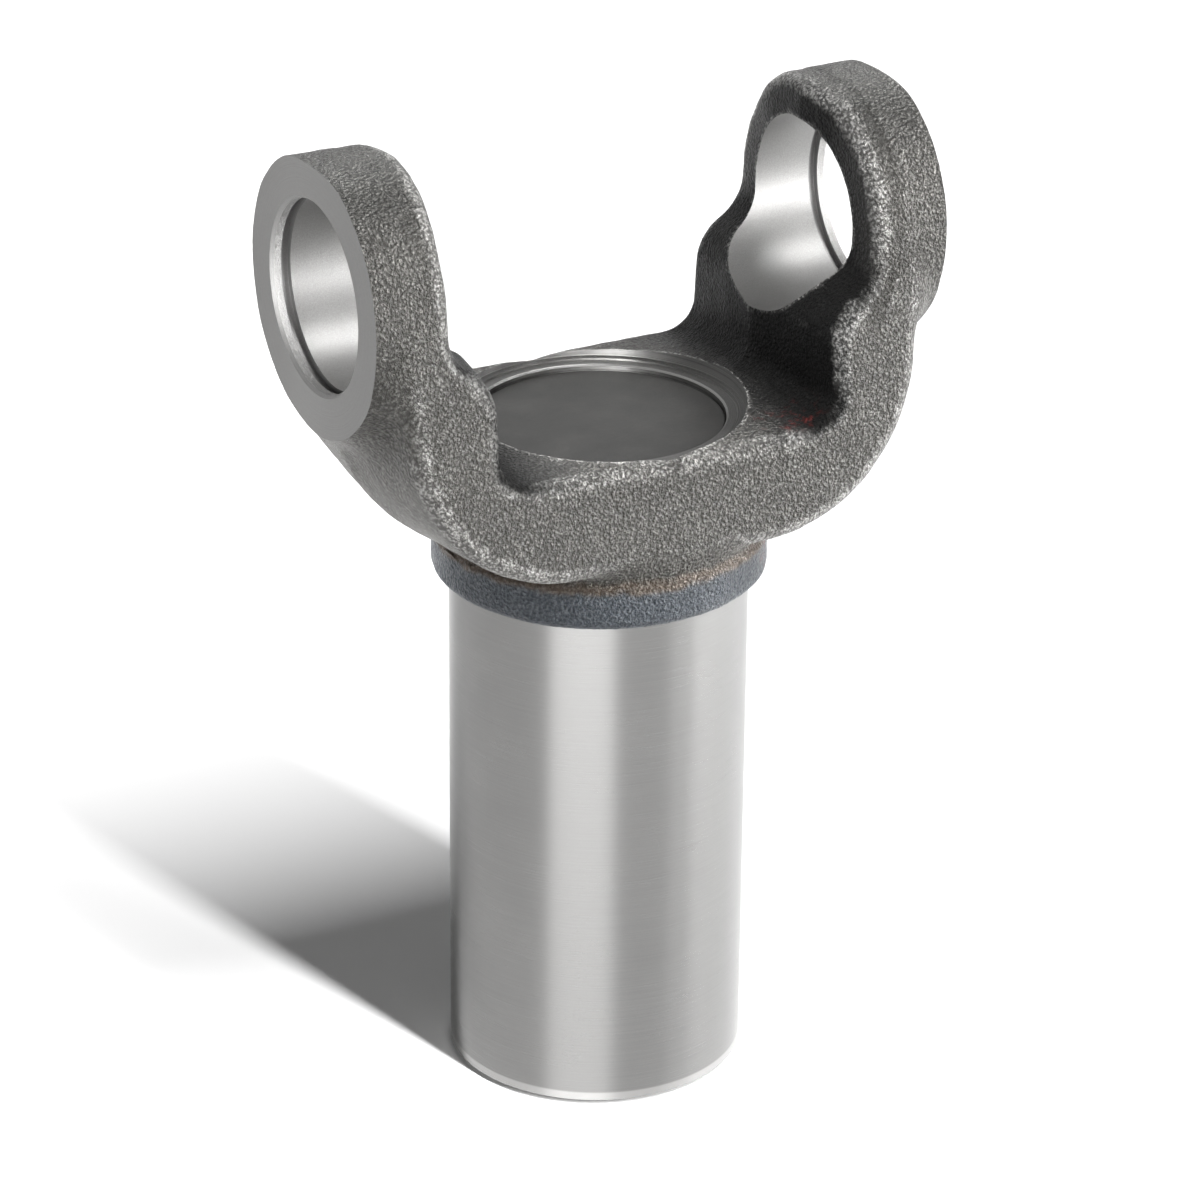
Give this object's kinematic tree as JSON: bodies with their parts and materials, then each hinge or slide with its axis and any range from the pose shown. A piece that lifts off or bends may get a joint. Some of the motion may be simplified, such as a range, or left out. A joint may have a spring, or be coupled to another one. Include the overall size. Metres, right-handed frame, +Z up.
{
  "type": "slip yoke",
  "caption": "Forged slip yoke of a propeller shaft: a fork with bored ears for a universal joint's cross on a ground barrel with an internal spline.",
  "frame": {"origin": "centre of the barrel's open end, which is the lowest face", "axes": "+Z up the barrel towards the ears, +X along the cross bores, +Y across the fork"},
  "size_m": [0.0988, 0.0538, 0.1613],
  "materials": {
    "forged_steel": "shot-blasted forged steel, machined bright on the barrel, the ear faces and the bores",
    "plug_steel": "matte pressed sheet steel"
  },
  "bodies": {
    "root": {"slip_yoke": "forged_steel", "welch_plug": "plug_steel"}
  },
  "joints": []
}
